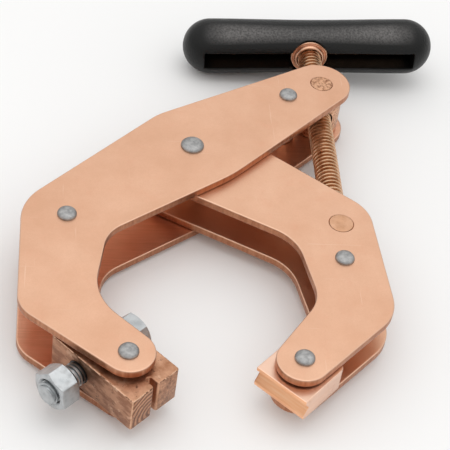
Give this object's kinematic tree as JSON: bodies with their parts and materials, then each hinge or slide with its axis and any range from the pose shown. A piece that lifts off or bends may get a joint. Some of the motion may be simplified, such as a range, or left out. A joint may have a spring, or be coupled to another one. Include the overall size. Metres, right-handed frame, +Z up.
{
  "type": "welding ground clamp",
  "caption": "Cross-arm screw clamp of riveted copper-plated plates, with a T-handle screw in trunnions that closes a bolted bar jaw on a grooved swivel jaw.",
  "frame": {"origin": "centre of the bottom of the bounding box, on the surface that the clamp lies on", "axes": "+Z up, square to the arm plates; +Y along the screw, from its seat towards the T-handle; +X towards the screw's side of the clamp"},
  "size_m": [0.2224, 0.2785, 0.0372],
  "materials": {
    "copper_plate": "thin satin copper plating on steel plate, faintly mottled",
    "screw_copper": "oiled copper-plated steel, darker and browner",
    "sawn_copper": "sawn copper bar with dark patches",
    "bright_copper": "bright smooth copper plating",
    "rivet_steel": "dull grey peened steel",
    "zinc_steel": "bright zinc plating",
    "black_plastic": "black moulded plastic with a fine leather grain"
  },
  "bodies": {
    "left_arm": {"left_arm_front_plate": "copper_plate", "left_arm_rear_plate": "copper_plate", "main_pivot_rivet": "rivet_steel", "tail_rivet": "rivet_steel", "tail_spacer": "copper_plate", "left_heel_rivet": "rivet_steel", "left_heel_spacer": "copper_plate", "ground_jaw_rivet": "rivet_steel", "ground_jaw_spacer_front": "rivet_steel", "ground_jaw_spacer_rear": "rivet_steel"},
    "right_arm": {"right_arm_front_plate": "copper_plate", "right_arm_rear_plate": "copper_plate", "main_pivot_spacer": "copper_plate", "right_heel_rivet": "rivet_steel", "right_heel_spacer": "copper_plate", "swivel_jaw_rivet": "rivet_steel", "swivel_jaw_washer_front": "rivet_steel", "swivel_jaw_washer_rear": "rivet_steel"},
    "nut_trunnion": {"nut_trunnion": "screw_copper"},
    "seat_trunnion": {"seat_trunnion": "screw_copper"},
    "screw": {"screw_spindle": "screw_copper", "screw_end_washer": "rivet_steel", "handle_collar": "copper_plate", "handle_crossbar": "screw_copper", "handle_grip": "black_plastic"},
    "ground_jaw": {"ground_jaw_block": "sawn_copper", "ground_bolt": "zinc_steel", "ground_nut": "zinc_steel"},
    "swivel_jaw": {"swivel_jaw_block": "bright_copper"}
  },
  "joints": [
    {"name": "main_pivot", "type": "hinge", "parent": "left_arm", "child": "right_arm", "pos_m": [-0.02878, 0.01785, 0.01862], "axis": [0, 0, -1], "range_deg": [-31.6, 14.1]},
    {"name": "nut_trunnion_swivel", "type": "hinge", "parent": "left_arm", "child": "nut_trunnion", "pos_m": [0.04182, 0.07175, 0.01862], "axis": [0, 0, -1], "range_deg": [-14.1, 6.3]},
    {"name": "seat_trunnion_swivel", "type": "hinge", "parent": "right_arm", "child": "seat_trunnion", "pos_m": [0.04182, -0.02795, 0.01862], "axis": [0, 0, -1], "range_deg": [-7.8, 17.5]},
    {"name": "screw_turn", "type": "hinge", "parent": "seat_trunnion", "child": "screw", "pos_m": [0.04182, -0.02795, 0.01862], "axis": [0, -1, 0], "range_deg": [-5740, 2560]},
    {"name": "ground_jaw_swivel", "type": "hinge", "parent": "left_arm", "child": "ground_jaw", "pos_m": [-0.06218, -0.11705, 0.01862], "axis": [0, 0, 1], "range_deg": [-20, 50]},
    {"name": "swivel_jaw_swivel", "type": "hinge", "parent": "right_arm", "child": "swivel_jaw", "pos_m": [0.01562, -0.11405, 0.01862], "axis": [0, 0, 1], "range_deg": [-50, 20]}
  ],
  "couplings": [
    {"joint": "main_pivot", "follows": "screw_turn", "ratio": 0.005488},
    {"joint": "nut_trunnion_swivel", "follows": "screw_turn", "ratio": 0.002453},
    {"joint": "seat_trunnion_swivel", "follows": "screw_turn", "ratio": -0.003035}
  ]
}
